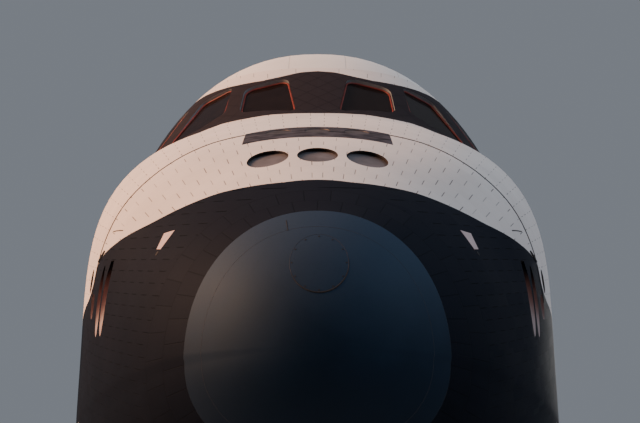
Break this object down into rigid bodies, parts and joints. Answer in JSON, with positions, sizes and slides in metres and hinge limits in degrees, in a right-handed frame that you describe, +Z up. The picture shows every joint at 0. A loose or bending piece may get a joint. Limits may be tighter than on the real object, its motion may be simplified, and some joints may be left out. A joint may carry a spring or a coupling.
{
  "type": "space shuttle orbiter",
  "caption": "Winged reusable spacecraft parked on its gear, with hinged payload bay doors, hatch, elevons, split rudder, body flap, steered nose wheels and rocket engines.",
  "frame": {"origin": "middle of the bounding box's footprint, on the ground under the wheels", "axes": "-Y towards the nose, +Y aft, +X to port, +Z up; the airframe is parked 3.5 degrees nose down"},
  "size_m": [23.7744, 36.3722, 17.239],
  "materials": {
    "white_tile": "matt silica tile",
    "carbon": "smooth grey carbon shell",
    "black_tile": "satin black tile",
    "blanket": "matt quilted blanket",
    "radiator": "white blanket outside, silvery panels inside",
    "cabin": "matt paint",
    "glass": "polished dark",
    "engine": "heat-tinted metal",
    "gear": "painted metal",
    "tyre": "black rubber"
  },
  "bodies": {
    "airframe": {"nose_cap": "carbon", "forward_rcs_module": "white_tile", "forward_fuselage_lower": "black_tile", "forward_fuselage_upper": "white_tile", "window_front_left": "glass", "window_front_right": "glass", "window_middle_left": "glass", "window_middle_right": "glass", "window_side_left": "glass", "window_side_right": "glass", "window_overhead_left": "glass", "window_overhead_right": "glass", "window_aft_left": "glass", "window_aft_right": "glass", "flight_deck": "cabin", "instrument_panel": "cabin", "mid_fuselage": "blanket", "wing_left": "white_tile", "wing_right": "white_tile", "wing_leading_edge_left": "carbon", "wing_leading_edge_right": "carbon", "aft_fuselage": "blanket", "vertical_tail": "blanket", "oms_pod_left": "blanket", "oms_pod_right": "blanket", "oms_nozzle_left": "engine", "oms_nozzle_right": "engine", "main_engine_upper": "engine", "main_engine_left": "engine", "main_engine_right": "engine", "nose_gear_leg": "gear", "main_gear_leg_left": "gear", "main_gear_leg_right": "gear", "nose_gear_door_left": "white_tile", "nose_gear_door_right": "white_tile", "main_gear_door_left": "black_tile", "main_gear_door_right": "black_tile"},
    "nose_fork": {"nose_gear_fork": "gear"},
    "nose_wheels": {"nose_wheelset": "gear", "nose_tyre_left": "tyre", "nose_tyre_right": "tyre"},
    "main_wheels_left": {"main_wheelset_left": "gear", "main_tyre_inner_left": "tyre", "main_tyre_outer_left": "tyre"},
    "main_wheels_right": {"main_wheelset_right": "gear", "main_tyre_inner_right": "tyre", "main_tyre_outer_right": "tyre"},
    "bay_door_left": {"payload_bay_door_left": "radiator"},
    "bay_door_right": {"payload_bay_door_right": "radiator"},
    "hatch": {"side_hatch": "white_tile"},
    "elevon_inboard_left": {"elevon_inboard_left": "white_tile"},
    "elevon_inboard_right": {"elevon_inboard_right": "white_tile"},
    "elevon_outboard_left": {"elevon_outboard_left": "white_tile"},
    "elevon_outboard_right": {"elevon_outboard_right": "white_tile"},
    "rudder": {"rudder_post": "black_tile"},
    "speedbrake_left": {"speedbrake_left": "blanket"},
    "speedbrake_right": {"speedbrake_right": "blanket"},
    "flap": {"body_flap": "black_tile"}
  },
  "joints": [
    {"name": "nose_steering", "type": "hinge", "parent": "airframe", "child": "nose_fork", "pos_m": [0, -14.48759, 0.5829], "axis": [0, -0.061, 0.9981], "range_deg": [-10, 10]},
    {"name": "nose_wheels_roll", "type": "hinge", "parent": "nose_fork", "child": "nose_wheels", "pos_m": [0, -14.47675, 0.40564], "axis": [1, 0, 0], "continuous": true},
    {"name": "main_wheels_left_roll", "type": "hinge", "parent": "airframe", "child": "main_wheels_left", "pos_m": [3.4544, 5.71883, 0.56439], "axis": [1, 0, 0], "continuous": true},
    {"name": "main_wheels_right_roll", "type": "hinge", "parent": "airframe", "child": "main_wheels_right", "pos_m": [-3.4544, 5.71883, 0.56439], "axis": [1, 0, 0], "continuous": true},
    {"name": "bay_door_left_open", "type": "hinge", "parent": "airframe", "child": "bay_door_left", "pos_m": [2.72288, -0.38246, 5.87347], "axis": [0, 0.9981, 0.061], "range_deg": [0, 175.5]},
    {"name": "bay_door_right_open", "type": "hinge", "parent": "airframe", "child": "bay_door_right", "pos_m": [-2.72288, -0.38246, 5.87347], "axis": [0, -0.9981, -0.061], "range_deg": [0, 175.5]},
    {"name": "hatch_open", "type": "hinge", "parent": "airframe", "child": "hatch", "pos_m": [2.65684, -11.41023, 3.52454], "axis": [0, 0.9981, 0.061], "range_deg": [0, 90]},
    {"name": "elevon_inboard_left_tilt", "type": "hinge", "parent": "airframe", "child": "elevon_inboard_left", "pos_m": [5.334, 11.01999, 3.34463], "axis": [0.9997, -0.0016, 0.0258], "range_deg": [-20, 35]},
    {"name": "elevon_outboard_left_tilt", "type": "hinge", "parent": "airframe", "child": "elevon_outboard_left", "pos_m": [9.906, 11.01276, 3.46283], "axis": [0.9997, -0.0016, 0.0258], "range_deg": [-20, 35]},
    {"name": "elevon_inboard_right_tilt", "type": "hinge", "parent": "airframe", "child": "elevon_inboard_right", "pos_m": [-5.334, 11.01999, 3.34463], "axis": [0.9997, 0.0016, -0.0258], "range_deg": [-20, 35]},
    {"name": "elevon_outboard_right_tilt", "type": "hinge", "parent": "airframe", "child": "elevon_outboard_right", "pos_m": [-9.906, 11.01276, 3.46283], "axis": [0.9997, 0.0016, -0.0258], "range_deg": [-20, 35]},
    {"name": "rudder_turn", "type": "hinge", "parent": "airframe", "child": "rudder", "pos_m": [0, 14.15475, 12.00478], "axis": [0, 0.4686, 0.8834], "range_deg": [-27.1, 27.1]},
    {"name": "speedbrake_left_open", "type": "hinge", "parent": "rudder", "child": "speedbrake_left", "pos_m": [0, 14.15475, 12.00478], "axis": [0, -0.4686, -0.8834], "range_deg": [0, 49.3]},
    {"name": "speedbrake_right_open", "type": "hinge", "parent": "rudder", "child": "speedbrake_right", "pos_m": [0, 14.15475, 12.00478], "axis": [0, 0.4686, 0.8834], "range_deg": [0, 49.3]},
    {"name": "flap_tilt", "type": "hinge", "parent": "airframe", "child": "flap", "pos_m": [0, 14.74872, 3.54165], "axis": [1, 0, 0], "range_deg": [-22.5, 11.7]}
  ],
  "couplings": [
    {"joint": "speedbrake_right_open", "follows": "speedbrake_left_open", "ratio": 1}
  ]
}
